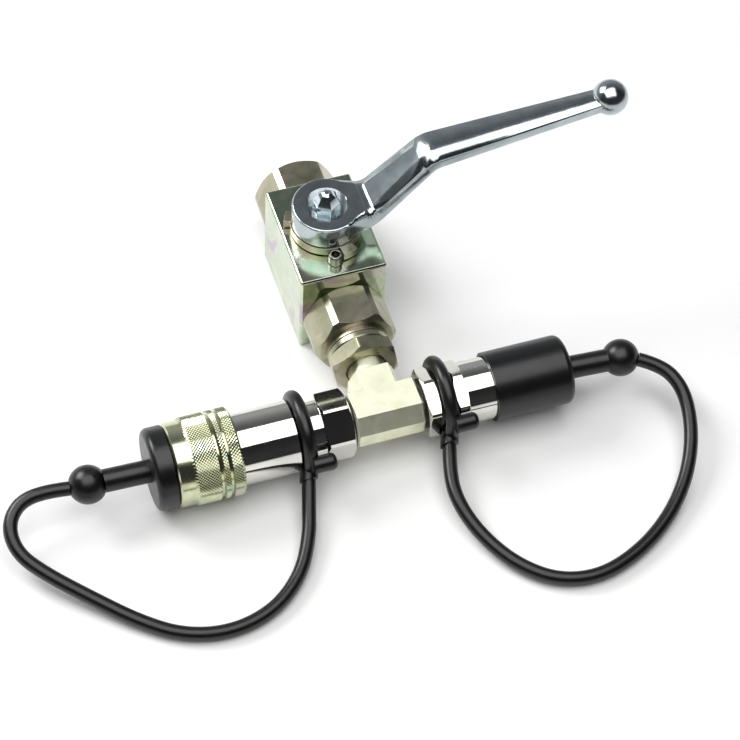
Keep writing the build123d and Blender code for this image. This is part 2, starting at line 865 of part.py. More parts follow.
def make_sleeve():
    outer = sleeve_diameter / 2
    knurl_start = sleeve_front - sleeve_plain_length
    groove_1 = sleeve_front - sleeve_groove_1
    groove_2 = sleeve_front - sleeve_groove_2
    base = outer - sleeve_groove_depth
    return turned([
        (sleeve_back, sleeve_skirt_radius),
        (ridge_back, sleeve_skirt_radius),
        (ridge_back, barrel_radius + running_gap),
        (ridge_front, barrel_radius + running_gap),
        (ridge_front, sleeve_relief_diameter / 2),
        (relief_front, sleeve_relief_diameter / 2),
        (relief_front, sleeve_lip_bore / 2),
        (sleeve_front, sleeve_lip_bore / 2),
        (sleeve_front, outer - sleeve_step - sleeve_front_bevel),
        (sleeve_front - sleeve_front_bevel, outer - sleeve_step),
        (knurl_start + sleeve_ramp, outer - sleeve_step),
        (knurl_start, outer),
        (groove_1 + sleeve_groove_width / 2, outer),
        (groove_1 + sleeve_groove_width / 4, base),
        (groove_1 - sleeve_groove_width / 4, base),
        (groove_1 - sleeve_groove_width / 2, outer),
        (groove_2 + sleeve_groove_width / 2, outer),
        (groove_2 + sleeve_groove_width / 4, base),
        (groove_2 - sleeve_groove_width / 4, base),
        (groove_2 - sleeve_groove_width / 2, outer),
        (sleeve_back + sleeve_back_bevel, outer),
        (sleeve_back, outer - sleeve_back_bevel),
    ])


def make_sleeve_spring():
    mean = (barrel_radius + sleeve_skirt_radius) / 2
    return coil(barrel_start + 0.1, ridge_back - 0.1, mean, spring_wire_diameter, sleeve_spring_turns)


def make_socket_ring():
    middle = barrel_end - socket_ring_depth
    mean = socket_bore / 2 + socket_ring_section / 2 + running_gap
    return ring(middle, mean, socket_ring_section)


def make_poppet(web_front, web_back, web_bore, chamber, nose_end, stem_end):
    """A check valve poppet whose head closes a web from behind, for either coupling."""
    seat_face = web_back - running_gap
    head_radius = chamber - poppet_head_clearance
    nose_radius = web_bore / 2 - poppet_nose_clearance
    groove_mean = (nose_radius + head_radius) / 2
    head = turned([
        (seat_face - poppet_head_length, 0),
        (nose_end, 0),
        (nose_end, nose_radius - 1.2),
        (nose_end - 1.2, nose_radius),
        (seat_face, nose_radius),
        (seat_face, head_radius),
        (seat_face - poppet_head_length, head_radius),
    ])
    groove = tube(
        seat_face - poppet_ring_section - running_gap,
        seat_face + 0.01,
        groove_mean + poppet_ring_section / 2,
        groove_mean - poppet_ring_section / 2,
    )
    stem = rod(stem_end, seat_face - poppet_head_length + 0.5, poppet_stem_diameter / 2)
    return head + stem - groove


def make_poppet_ring(web_back, web_bore, chamber):
    head_radius = chamber - poppet_head_clearance
    nose_radius = web_bore / 2 - poppet_nose_clearance
    mean = (nose_radius + head_radius) / 2
    station = web_back - running_gap - poppet_ring_section / 2
    return ring(station, mean, poppet_ring_section - 2 * running_gap)


def make_guide(start, length, radius):
    """A spider that guides a poppet's stem and lets the fluid past."""
    guide = tube(start, start + length, radius - running_gap, poppet_stem_diameter / 2 + running_gap)
    for index in range(guide_hole_count):
        turn = 360 * (index + 0.5) / guide_hole_count
        hole = Rot(turn, 0, 0) * Pos(0, 0, guide_hole_circle / 2) * rod(
            start - 1, start + length + 1, guide_hole_diameter / 2
        )
        guide = guide - hole
    return guide


nipple_neck_start = hex_start + nipple_hex_length
nipple_collar_start = nipple_neck_start + nipple_neck_length
nipple_body_start = nipple_collar_start + nipple_collar_length
nipple_nose_start = nipple_body_start + nipple_body_length
nipple_end = nipple_nose_start + nipple_nose_length
nipple_spigot_end = nipple_collar_start + nipple_spigot_length
nipple_guide_start = nipple_collar_start - socket_guide_length
nipple_web_front = nipple_end - nipple_web_inset
nipple_web_back = nipple_web_front - nipple_web_thickness


def make_nipple_tail():
    body = tail_thread() + coupling_hex_bar(hex_start, nipple_hex_length, nipple_hex_turn)
    neck = rod(nipple_neck_start - 0.5, nipple_collar_start, neck_radius)
    spigot = rod(nipple_collar_start - 0.5, nipple_spigot_end, nipple_spigot_diameter / 2)
    bore = rod(0, nipple_guide_start, tail_bore / 2)
    pocket = rod(nipple_guide_start, nipple_spigot_end + 1, nipple_bore / 2)
    return body + neck + spigot - bore - pocket


def make_nipple_body():
    thread = nipple_spigot_diameter / 2 + thread_gap
    body = nipple_body_diameter / 2
    nose = nipple_nose_diameter / 2
    groove_end = nipple_end - nipple_groove_offset
    groove_start = groove_end - nipple_groove_width
    collar = hex_bar(
        nipple_body_diameter,
        nipple_collar_start,
        nipple_body_start,
        nipple_hex_turn,
        nipple_collar_diameter,
        nipple_collar_chamfer,
    )
    collar_bore = rod(nipple_collar_start - 1, nipple_body_start + 1, thread)
    barrel = turned([
        (nipple_collar_start, thread),
        (nipple_spigot_end + loose_gap, thread),
        (nipple_spigot_end + loose_gap, nipple_bore / 2),
        (nipple_web_back, nipple_bore / 2),
        (nipple_web_back, nipple_web_bore / 2),
        (nipple_web_front, nipple_web_bore / 2),
        (nipple_web_front, nipple_bore / 2),
        (nipple_end, nipple_bore / 2),
        (nipple_end, nose - 1.2),
        (nipple_end - 2.0, nose),
        (groove_end, nose),
        (groove_end - 0.8, nose - nipple_groove_depth),
        (groove_start + 0.8, nose - nipple_groove_depth),
        (groove_start, nose),
        (nipple_nose_start, nose),
        (nipple_nose_start - 1.5, body),
        (nipple_collar_start + nipple_collar_chamfer, body),
        (nipple_collar_start, body - nipple_collar_chamfer),
    ])
    return barrel + (collar - collar_bore)


plug_bead_centre = Vector(-plug_bead_reach, plug_bead_rise - run_offset, port_height)
cap_bead_centre = Vector(cap_bead_reach, cap_bead_rise - run_offset, port_height)


def bead_face(centre, diameter, next_point):
    """Where a cord leaves its bead, and the direction it leaves in."""
    direction = (Vector(*next_point) - centre).normalized()
    reach = sqrt((diameter / 2) ** 2 - (cord_radius + cord_seat) ** 2)
    return centre + direction * reach, direction


def make_bead(centre, diameter, next_point):
    """A bead with a flat seat where its cord begins."""
    spot, direction = bead_face(centre, diameter, next_point)
    beyond = between(spot, spot + direction * diameter, diameter)
    return Pos(centre) * Sphere(diameter / 2) - beyond


def make_plug():
    flange = sleeve_diameter / 2 - plug_flange_inset
    lip = socket_bore / 2 - loose_gap
    nose = socket_bore / 2 - lock_ball_intrusion - loose_gap
    seat = plug_face
    back = seat + plug_flange_length
    outline = Polyline(
        (seat - plug_depth, 0),
        (back, 0),
        (back, flange),
        (seat, flange),
        (seat, lip),
        (seat - plug_lip_length, lip),
        (seat - plug_lip_length - 1.0, nose),
        (seat - plug_depth + 1.0, nose),
        (seat - plug_depth, nose - 1.0),
        close=True,
    )
    plug = revolve(make_face(outline), Axis.X)
    rims = []
    for edge in plug.edges():
        if abs(edge.center().X - back) < 0.01 and edge.radius > flange - 0.1:
            rims.append(edge)
    plug = left_place * fillet(rims, plug_flange_round)
    root = Vector(-back + 0.5, -run_offset, port_height)
    neck = between(root, plug_bead_centre, tail_neck_diameter / 2)
    return plug + neck + make_bead(plug_bead_centre, plug_bead_diameter, plug_cord_route[1])


def make_cap():
    outer = nipple_nose_diameter / 2 + loose_gap + cap_wall
    end = cap_mouth + cap_length
    shell = turned([
        (cap_mouth, 0),
        (end, 0),
        (end, outer),
        (cap_mouth, outer),
    ])
    shell = fillet([e for e in shell.edges() if abs(e.center().X - end) < 0.01], cap_end_round)
    collar_bore = nipple_body_diameter / 2 + loose_gap
    nose_bore = nipple_nose_diameter / 2 + loose_gap
    hollow = turned([
        (cap_mouth - 1, 0),
        (end - cap_end_wall, 0),
        (end - cap_end_wall, nose_bore),
        (nipple_nose_start + loose_gap, nose_bore),
        (nipple_nose_start + loose_gap - 1.2, collar_bore),
        (cap_mouth - 1, collar_bore),
    ])
    root = Vector(end - cap_end_wall + 0.5, -run_offset, port_height)
    neck = between(root, cap_bead_centre, tail_neck_diameter / 2)
    bead = make_bead(cap_bead_centre, cap_bead_diameter, cap_cord_route[1])
    return right_place * (shell - hollow) + neck + bead


def loop_point(x, angle, radius):
    """A point beside a tether loop, at an angle from the front of the coupling upwards."""
    turn = radians(angle)
    return Vector(x, -run_offset - radius * cos(turn), port_height + radius * sin(turn))


def knot_plane(route):
    """The face where a cord meets its knot. It runs along X, so that a cover can slide off."""
    end = Vector(*route[-1])
    leg = Vector(*route[-2]) - end
    return Plane(origin=end, x_dir=(1, 0, 0), z_dir=(0, leg.Y, leg.Z))


def make_loop(x, stub_angle, route, beyond_radius):
    """A tether's loop round a coupling's neck, with the knot that closes it and its stub."""
    spot = Plane.XY * Pos(x, loop_radius) * Circle(cord_radius)
    band = right_place * revolve(spot, Axis.X)
    end = Vector(*route[-1])
    direction = (Vector(*route[-2]) - end).normalized()
    knot = between(end - direction * knot_length, end + direction * 3, knot_diameter / 2)
    knot = knot - knot_plane(route) * extrude(Circle(knot_diameter * 2), knot_diameter)
    stub_start = loop_point(x, stub_angle, loop_radius + stub_offset)
    stub = between(stub_start, stub_start + Vector(stub_length, 0, 0), stub_diameter / 2)
    stub = fillet(stub.edges().group_by(Axis.X)[-1], stub_diameter * 0.3)
    outward = 1 if x > 0 else -1
    hex_side = x - outward * (cord_radius + loop_side_gap)
    body_side = x + outward * (cord_radius + loop_side_gap)
    hex_room = rod(*sorted((hex_side, hex_side - outward * 20)), coupling_hex / sqrt(3) + running_gap)
    body_room = rod(*sorted((body_side, body_side + outward * 20)), beyond_radius + running_gap)
    neck_room = rod(x - 20, x + 20, neck_radius + loop_side_gap)
    for room in (hex_room, body_room, neck_room):
        knot = knot - right_place * room
    return band + knot + stub


def cord_tube(name, route, bead_centre, bead_diameter):
    """A cord along its route: straight runs joined by arcs as large as the runs allow."""
    points = [Vector(*p) for p in route]
    points[0] = bead_face(bead_centre, bead_diameter, route[1])[0]
    end = points[-1]
    last_leg = (end - points[-2]).normalized()
    points[-1] = end + last_leg * tether_cord_diameter
    radii = []
    for before, corner, after in zip(points, points[1:], points[2:]):
        first = corner - before
        second = after - corner
        turn = radians(first.get_angle(second))
        radii.append(0.45 * min(first.length, second.length) / tan(turn / 2))
    path = FilletPolyline(*points, radius=radii)
    section = Plane(origin=points[0], z_dir=points[1] - points[0]) * Circle(cord_radius)
    cord = sweep(section, path)
    knot_side = knot_plane(route) * Pos(0, 0, -20) * extrude(Circle(20), 20)
    cord = cord - knot_side
    length = path.length - tether_cord_diameter
    expected = pi * cord_radius**2 * length
    print(name, "length", round(length, 1), "volume over section times length",
          round(cord.volume / expected, 4), "smallest radius", round(min(radii), 1))
    print("  radii", [round(r, 1) for r in radii])
    return cord


parts = {}
parts["valve_body"] = make_valve_body()
parts["ball"] = make_ball()
parts["seat_rear"] = flow_place * make_seat()
parts["seat_front"] = outlet_place * make_seat()
parts["connector_rear"] = flow_place * make_connector()
parts["connector_front"] = outlet_place * make_connector()
parts["connector_ring_rear"] = flow_place * make_connector_ring()
parts["connector_ring_front"] = outlet_place * make_connector_ring()
parts["stem"] = make_stem()
parts["stem_ring"] = make_stem_ring()
parts["thrust_washer"] = make_thrust_washer()
parts["stop_disc"] = make_stop_disc()
parts["stop_pin"] = make_stop_pin()
parts["lever"] = make_lever()
parts["nut_washer"] = make_nut_washer()
parts["cap_nut"] = make_cap_nut()
parts["seal_washer"] = outlet_place * make_seal_washer()
parts["seal_washer_rubber"] = outlet_place * make_seal_washer_rubber()
parts["stud_adapter"] = outlet_place * make_stud_adapter()
parts["retaining_wire"] = outlet_place * make_retaining_wire()
parts["tee"] = make_tee()
parts["socket_tail_seal"] = left_place * make_tail_seal()
parts["socket_tail"] = left_place * make_socket_tail()
parts["socket_body"] = left_place * make_socket_body()
parts["socket_ring"] = left_place * make_socket_ring()
parts["lock_balls"] = left_place * make_lock_balls()
parts["sleeve"] = left_place * make_sleeve()
parts["sleeve_spring"] = left_place * make_sleeve_spring()
parts["sleeve_stop_wire"] = left_place * make_stop_wire()
parts["socket_poppet_guide"] = left_place * make_guide(
    guide_start, socket_guide_length, socket_spring_bore / 2
)
socket_nose_end = socket_web_front + socket_poppet_nose
parts["socket_poppet"] = left_place * make_poppet(
    socket_web_front,
    socket_web_back,
    socket_web_bore,
    socket_chamber_bore / 2,
    socket_nose_end,
    guide_start - 0.6,
)
parts["socket_poppet_ring"] = left_place * make_poppet_ring(
    socket_web_back, socket_web_bore, socket_chamber_bore / 2
)
parts["socket_poppet_spring"] = left_place * coil(
    guide_start + socket_guide_length + 0.1,
    socket_web_back - running_gap - poppet_head_length - 0.1,
    socket_spring_bore / 2 - 1.4,
    poppet_spring_wire,
    poppet_spring_turns,
)
parts["nipple_tail_seal"] = right_place * make_tail_seal()
parts["nipple_tail"] = right_place * make_nipple_tail()
parts["nipple_body"] = right_place * make_nipple_body()
parts["nipple_poppet_guide"] = right_place * make_guide(
    nipple_guide_start, socket_guide_length, nipple_bore / 2
)
parts["nipple_poppet"] = right_place * make_poppet(
    nipple_web_front,
    nipple_web_back,
    nipple_web_bore,
    nipple_bore / 2,
    nipple_web_front + nipple_web_inset - nipple_poppet_inset,
    nipple_guide_start - 0.6,
)
parts["nipple_poppet_ring"] = right_place * make_poppet_ring(
    nipple_web_back, nipple_web_bore, nipple_bore / 2
)
parts["nipple_poppet_spring"] = right_place * coil(
    nipple_guide_start + socket_guide_length + 0.1,
    nipple_web_back - running_gap - poppet_head_length - 0.1,
    nipple_bore / 2 - 1.4,
    poppet_spring_wire,
    poppet_spring_turns,
)
parts["dust_plug"] = make_plug()
parts["dust_cap"] = make_cap()
parts["plug_loop"] = make_loop(plug_loop_x, plug_stub_angle, plug_cord_route, socket_body_diameter / 2)
parts["cap_loop"] = make_loop(cap_loop_x, cap_stub_angle, cap_cord_route, nipple_collar_diameter / 2)
parts["plug_cord"] = cord_tube(
    "plug_cord", plug_cord_route, plug_bead_centre, plug_bead_diameter
)
parts["cap_cord"] = cord_tube("cap_cord", cap_cord_route, cap_bead_centre, cap_bead_diameter)

os.makedirs("parts", exist_ok=True)
for name, shape in parts.items():
    export_step(shape, f"parts/{name}.step")
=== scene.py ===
import json
from math import atan2, cos, hypot, pi, radians, sin

import bpy
from mathutils import Matrix, Vector


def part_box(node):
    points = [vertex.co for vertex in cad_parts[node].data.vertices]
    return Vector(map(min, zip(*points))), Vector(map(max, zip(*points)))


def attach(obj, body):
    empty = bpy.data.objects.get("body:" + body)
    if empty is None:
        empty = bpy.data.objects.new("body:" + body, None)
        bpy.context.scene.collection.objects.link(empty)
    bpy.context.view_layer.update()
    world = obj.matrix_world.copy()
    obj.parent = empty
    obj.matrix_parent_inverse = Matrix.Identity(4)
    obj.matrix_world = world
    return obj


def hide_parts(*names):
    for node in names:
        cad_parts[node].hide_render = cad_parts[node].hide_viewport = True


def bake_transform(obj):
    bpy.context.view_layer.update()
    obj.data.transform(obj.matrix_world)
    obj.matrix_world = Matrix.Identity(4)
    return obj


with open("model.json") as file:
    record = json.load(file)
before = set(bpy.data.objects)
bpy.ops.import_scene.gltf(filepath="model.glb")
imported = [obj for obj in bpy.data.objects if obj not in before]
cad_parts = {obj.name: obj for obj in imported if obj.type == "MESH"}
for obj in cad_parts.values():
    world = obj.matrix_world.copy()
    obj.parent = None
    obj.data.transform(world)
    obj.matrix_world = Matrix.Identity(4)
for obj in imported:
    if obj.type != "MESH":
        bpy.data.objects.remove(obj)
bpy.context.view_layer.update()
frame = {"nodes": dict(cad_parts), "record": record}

mm = 0.001

# The photograph's viewpoint, turned and raised from straight in front of the object
view_azimuth = radians(-20.964)
view_elevation = radians(54.222)
view_roll = radians(3.528)
view_distance = 1.0899
view_target = Vector((0, 0, 0.040))
view_offset = (0.01726, -0.05543)
lens_pixels = 2800
photo_pixels = 740
sensor_width = 36

# The axis of the tee's run, which the sleeve shares
run_y = (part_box("sleeve")[0][1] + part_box("sleeve")[1][1]) / 2
run_z = (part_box("sleeve")[0][2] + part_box("sleeve")[1][2]) / 2
cord_radius = 2.75 * mm

# Points closer together than double_gap are joined, and places closer than a hair count as the same
double_gap = 0.002 * mm
hair = 0.01 * mm

# How deep the sleeve's knurl goes, and how many columns it has
knurl_depth = 0.24 * mm
knurl_columns = 168

# The room's light: its strength towards the camera's side and towards the far side, the directions along Y
# between which it rises, the directions along Z between which it falls, and how much the ceiling keeps
room_front = 0.05
room_back = 0.5
room_rise = (-0.1, 0.9)
room_fall = (0.35, 0.8)
ceiling_share = 0.5

# How much brighter than its own shading the paper looks
table_lift = 0.05

# Tether routes: the same points as the model's, in metres
plug_cord_route = [
    (-0.1228, -0.0742, 0.0173),
    (-0.1330, -0.0726, 0.0172),
    (-0.1430, -0.0742, 0.0156),
    (-0.1486, -0.0818, 0.0132),
    (-0.1476, -0.0926, 0.0108),
    (-0.1395, -0.1026, 0.0084),
    (-0.1265, -0.1150, 0.0058),
    (-0.1120, -0.1288, 0.0038),
    (-0.0975, -0.1390, 0.0029),
    (-0.0800, -0.1428, 0.0028),
    (-0.0624, -0.1384, 0.0029),
    (-0.0488, -0.1270, 0.0036),
    (-0.0412, -0.1126, 0.0052),
    (-0.0379, -0.1014, 0.0075),
    (-0.0352, -0.0924, 0.0108),
]
cap_cord_route = [
    (0.1027, -0.0792, 0.0169),
    (0.1106, -0.0836, 0.0157),
    (0.1154, -0.0924, 0.0136),
    (0.1152, -0.1040, 0.0110),
    (0.1108, -0.1180, 0.0082),
    (0.1028, -0.1315, 0.0054),
    (0.0910, -0.1438, 0.0036),
    (0.0760, -0.1536, 0.0028),
    (0.0584, -0.1596, 0.0029),
    (0.0420, -0.1568, 0.0032),
    (0.0292, -0.1462, 0.0042),
    (0.0206, -0.1318, 0.0058),
    (0.0164, -0.1168, 0.0076),
    (0.0172, -0.1038, 0.0090),
    (0.0210, -0.0924, 0.0108),
]


# Camera
def place_camera():
    back = Vector((
        sin(view_azimuth) * cos(view_elevation),
        -cos(view_azimuth) * cos(view_elevation),
        sin(view_elevation),
    ))
    level = Vector((cos(view_azimuth), sin(view_azimuth), 0))
    steep = back.cross(level)
    right = cos(view_roll) * level + sin(view_roll) * steep
    up = -sin(view_roll) * level + cos(view_roll) * steep
    spot = view_target + right * view_offset[0] + up * view_offset[1] + back * view_distance
    camera_data = bpy.data.cameras.new("photo_camera")
    camera_data.sensor_width = sensor_width
    camera_data.lens = sensor_width * lens_pixels / photo_pixels
    camera_data.clip_end = 20
    camera = bpy.data.objects.new("photo_camera", camera_data)
    bpy.context.scene.collection.objects.link(camera)
    camera.matrix_world = Matrix((
        (right.x, up.x, back.x, spot.x),
        (right.y, up.y, back.y, spot.y),
        (right.z, up.z, back.z, spot.z),
        (0, 0, 0, 1),
    ))
    bpy.context.scene.camera = camera


# Materials
def linear(hex_colour):
    """An sRGB hex colour as a linear RGBA colour."""
    channels = [int(hex_colour[i:i + 2], 16) / 255 for i in (1, 3, 5)]
    light = [c / 12.92 if c <= 0.04045 else ((c + 0.055) / 1.055) ** 2.4 for c in channels]
    return (*light, 1)


def add_node(tree, kind, settings=None, inputs=None):
    """Adds a node, with its own settings, and with a value or a link for each named input."""
    node = tree.nodes.new(kind)
    for name, value in (settings or {}).items():
        setattr(node, name, value)
    for name, value in (inputs or {}).items():
        if isinstance(value, bpy.types.NodeSocket):
            tree.links.new(value, node.inputs[name])
        else:
            node.inputs[name].default_value = value
    return node


def new_finish(name, roughness, metallic=0.0):
    """A material with its shader, and the object's own coordinates to draw patterns on."""
    material = bpy.data.materials.new(name)
    material.use_nodes = True
    tree = material.node_tree
    shader = tree.nodes["Principled BSDF"]
    shader.inputs["Roughness"].default_value = roughness
    shader.inputs["Metallic"].default_value = metallic
    place = tree.nodes.new("ShaderNodeTexCoord").outputs["Object"]
    return material, tree, shader, place


def colour_ramp(tree, factor, stops):
    """A colour ramp from (position, hex colour) pairs."""
    ramp = add_node(tree, "ShaderNodeValToRGB", inputs={"Fac": factor})
    elements = ramp.color_ramp.elements
    while len(elements) < len(stops):
        elements.new(0.5)
    for element, (position, colour) in zip(elements, stops):
        element.position = position
        element.color = linear(colour)
    return ramp.outputs["Color"]


def grey_ramp(tree, factor, low, high):
    """Spreads a pattern's value between two limits."""
    spread = add_node(tree, "ShaderNodeMapRange", inputs={
        "Value": factor, "To Min": low, "To Max": high,
    })
    return spread.outputs["Result"]


def pattern(tree, place, size, detail=2.0, stretch=(1, 1, 1), distortion=0.0):
    """Cloudy noise whose patches are about size metres across, drawn out along an axis by stretch."""
    mapping = add_node(tree, "ShaderNodeMapping", inputs={"Vector": place, "Scale": stretch})
    noise = add_node(tree, "ShaderNodeTexNoise", inputs={
        "Vector": mapping.outputs["Vector"], "Scale": 1 / size, "Detail": detail,
        "Distortion": distortion,
    })
    return noise.outputs["Fac"]


def relief(tree, shader, height, depth):
    """Bumps the surface by a pattern, depth metres deep."""
    bump = add_node(tree, "ShaderNodeBump", inputs={
        "Height": height, "Distance": depth, "Strength": 1.0,
    })
    tree.links.new(bump.outputs["Normal"], shader.inputs["Normal"])


def passivated_block():
    """Ground steel with passivated zinc: a near mirror, with a film of straw, green and mauve."""
    material, tree, shader, place = new_finish("passivated zinc on ground steel", 0.14, 1.0)
    film = pattern(tree, place, 22 * mm, detail=2.5, distortion=1.2)
    colour = colour_ramp(tree, film, [
        (0.30, "#b09db8"), (0.42, "#c9cdb8"), (0.52, "#b0c4a8"), (0.62, "#d0d4bb"), (0.74, "#bcaec2"),
    ])
    tree.links.new(colour, shader.inputs["Base Color"])
    haze = pattern(tree, place, 9 * mm, detail=4)
    tree.links.new(grey_ramp(tree, haze, 0.08, 0.22), shader.inputs["Roughness"])
    # Surface grinding leaves fine parallel lines along the block.
    lines = pattern(tree, place, 0.5 * mm, detail=1, stretch=(1, 0.03, 1))
    relief(tree, shader, lines, 0.004 * mm)
    return material


def olive_hexagon():
    """Bar steel hexagons with an olive chromate film: satin, with drawn lines along the bar."""
    material, tree, shader, place = new_finish("olive chromate on drawn hexagon bar", 0.3, 1.0)
    film = pattern(tree, place, 12 * mm, detail=3, distortion=0.6)
    colour = colour_ramp(tree, film, [
        (0.32, "#9a9a82"), (0.48, "#b1af95"), (0.60, "#c0b8a6"), (0.72, "#a9a793"),
    ])
    tree.links.new(colour, shader.inputs["Base Color"])
    haze = pattern(tree, place, 3 * mm, detail=5)
    tree.links.new(grey_ramp(tree, haze, 0.22, 0.38), shader.inputs["Roughness"])
    relief(tree, shader, pattern(tree, place, 0.7 * mm, detail=3), 0.01 * mm)
    return material


def lever_zinc():
    """Forged lever, barrel plated with bright bluish zinc: satin, and slightly orange-peeled."""
    material, tree, shader, place = new_finish("blue zinc on forged steel", 0.28, 1.0)
    film = pattern(tree, place, 16 * mm, detail=3)
    colour = colour_ramp(tree, film, [(0.30, "#9ea8ab"), (0.50, "#b9c3c6"), (0.72, "#a6aeb4")])
    tree.links.new(colour, shader.inputs["Base Color"])
    haze = pattern(tree, place, 5 * mm, detail=4)
    tree.links.new(grey_ramp(tree, haze, 0.13, 0.24), shader.inputs["Roughness"])
    relief(tree, shader, pattern(tree, place, 2.2 * mm, detail=2), 0.05 * mm)
    return material


def tee_zinc():
    """Forged tee in straw-tinted zinc: a blasted, chalky skin on top, and machined sides."""
    material, tree, shader, place = new_finish("straw zinc on a forged tee", 0.32, 1.0)
    facing = add_node(tree, "ShaderNodeSeparateXYZ", inputs={
        "Vector": tree.nodes.new("ShaderNodeTexCoord").outputs["Normal"],
    })
    skin = add_node(tree, "ShaderNodeMapRange", inputs={
        "Value": facing.outputs["Z"], "From Min": 0.8, "From Max": 0.95,
    }).outputs["Result"]
    tree.links.new(grey_ramp(tree, skin, 0.32, 0.55), shader.inputs["Roughness"])
    tree.links.new(grey_ramp(tree, skin, 1.0, 0.5), shader.inputs["Metallic"])
    film = pattern(tree, place, 10 * mm, detail=3)
    colour = colour_ramp(tree, film, [(0.30, "#e2e3c6"), (0.52, "#eff0d8"), (0.74, "#dcddc4")])
    tree.links.new(colour, shader.inputs["Base Color"])
    relief(tree, shader, pattern(tree, place, 0.6 * mm, detail=3), 0.012 * mm)
    return material


def polished_steel():
    """Turned and polished coupling bodies: almost a mirror, with faint turning marks."""
    material, tree, shader, place = new_finish("polished turned steel", 0.07, 1.0)
    film = pattern(tree, place, 14 * mm, detail=2)
    colour = colour_ramp(tree, film, [(0.3, "#cfcfc8"), (0.6, "#e0dfd8")])
    tree.links.new(colour, shader.inputs["Base Color"])
    marks = pattern(tree, place, 0.5 * mm, detail=1, stretch=(1, 0.02, 0.02))
    relief(tree, shader, marks, 0.0015 * mm)
    return material


def sleeve_zinc():
    """Turned and knurled sleeve in yellow-green passivated zinc."""
    material, tree, shader, place = new_finish("yellow-green zinc on a turned sleeve", 0.18, 1.0)
    film = pattern(tree, place, 9 * mm, detail=2, distortion=0.5)
    colour = colour_ramp(tree, film, [
        (0.28, "#b9bda0"), (0.48, "#d2d4ae"), (0.62, "#b9c9b0"), (0.76, "#c9bfae"),
    ])
    tree.links.new(colour, shader.inputs["Base Color"])
    marks = pattern(tree, place, 0.6 * mm, detail=1, stretch=(1, 0.02, 0.02))
    relief(tree, shader, marks, 0.003 * mm)
    return material


def plain_metal(name, colour, roughness):
    """A small bright or dull metal part, with a slightly uneven plating."""
    material, tree, shader, place = new_finish(name, roughness, 1.0)
    shader.inputs["Base Color"].default_value = linear(colour)
    haze = pattern(tree, place, 2 * mm, detail=3)
    tree.links.new(grey_ramp(tree, haze, roughness * 0.8, roughness * 1.3), shader.inputs["Roughness"])
    return material


def moulded_rubber(name, colour, roughness, grain):
    """Black moulded rubber: a soft broken gloss over a fine grain."""
    material, tree, shader, place = new_finish(name, roughness)
    shader.inputs["Base Color"].default_value = linear(colour)
    shader.inputs["IOR"].default_value = 1.52
    haze = pattern(tree, place, 3 * mm, detail=4)
    tree.links.new(grey_ramp(tree, haze, roughness - 0.07, roughness + 0.1), shader.inputs["Roughness"])
    relief(tree, shader, pattern(tree, place, 0.8 * mm, detail=3), grain)
    return material


def seat_plastic():
    """White seat rings and washer: turned, slightly waxy fluoroplastic."""
    material, tree, shader, place = new_finish("turned white fluoroplastic", 0.45)
    tint = pattern(tree, place, 4 * mm)
    tree.links.new(colour_ramp(tree, tint, [(0.3, "#dedcd2"), (0.7, "#eceae2")]),
                   shader.inputs["Base Color"])
    return material


finishes = {
    "zinc_block": passivated_block(),
    "zinc_hex": olive_hexagon(),
    "zinc_lever": lever_zinc(),
    "tee_zinc": tee_zinc(),
    "bright_steel": polished_steel(),
    "sleeve_zinc": sleeve_zinc(),
    "spring_steel": plain_metal("drawn spring wire", "#9c9b95", 0.25),
    "bright_nut": plain_metal("bright blue zinc", "#c9d6dc", 0.12),
    "ball_chrome": plain_metal("hard chrome", "#d9dbde", 0.06),
    "seat_plastic": seat_plastic(),
    "black_rubber": moulded_rubber("black moulded rubber", "#09090a", 0.32, 0.02 * mm),
    "seal_rubber": moulded_rubber("black nitrile seal", "#0d0d0d", 0.55, 0.01 * mm),
}
slot_of = {entry["node"]: entry["material_slot"] for entry in frame["record"]["subparts"]}
body_of = {
    member: body
    for body, members in frame["record"]["behaviour"]["bodies"].items()
    for member in members
}
for node_name, node_object in frame["nodes"].items():
    node_object.data.materials.clear()
    node_object.data.materials.append(finishes[slot_of[node_name]])


# Hand tools
def clear_selection():
    if bpy.context.object and bpy.context.object.mode != "OBJECT":
        bpy.ops.object.mode_set(mode="OBJECT")
    bpy.ops.object.select_all(action="DESELECT")


def take(piece):
    """Makes one piece the only selected and active one."""
    clear_selection()
    piece.select_set(True)
    bpy.context.view_layer.objects.active = piece


def open_mesh(piece, select="SELECT"):
    """Goes into edit mode on one piece, with all or none of it selected."""
    take(piece)
    bpy.ops.object.mode_set(mode="EDIT")
    bpy.ops.mesh.select_all(action=select)


def close_mesh():
    bpy.ops.object.mode_set(mode="OBJECT")


def tidy_mesh(piece):
    """Joins the doubles, and points the faces outwards."""
    open_mesh(piece)
    bpy.ops.mesh.remove_doubles(threshold=double_gap)
    bpy.ops.mesh.normals_make_consistent(inside=False)
    close_mesh()


def soften(piece, width, segments=2, angle=30, clamp=True):
    """Rounds the sharp edges by a small bevel, unless its width is 0, and shades the rest smooth."""
    take(piece)
    if width:
        bevel = piece.modifiers.new("edge", "BEVEL")
        bevel.width = width
        bevel.segments = segments
        bevel.limit_method = "ANGLE"
        bevel.angle_limit = radians(angle)
        bevel.use_clamp_overlap = clamp
        bpy.ops.object.modifier_apply(modifier="edge")
    bpy.ops.object.shade_smooth_by_angle(angle=radians(angle))
    # The large faces keep their own shading, and only the rounded edges turn from one to the next.
    evener = piece.modifiers.new("even", "WEIGHTED_NORMAL")
    evener.keep_sharp = True
    bpy.ops.object.modifier_apply(modifier="even")


def stand_in(piece, node, finish=None):
    """Gives a piece its finish, and lets it stand for a node of the model."""
    slot = slot_of[node]
    piece.data.materials.clear()
    piece.data.materials.append(finish or finishes[slot])
    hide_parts(node)


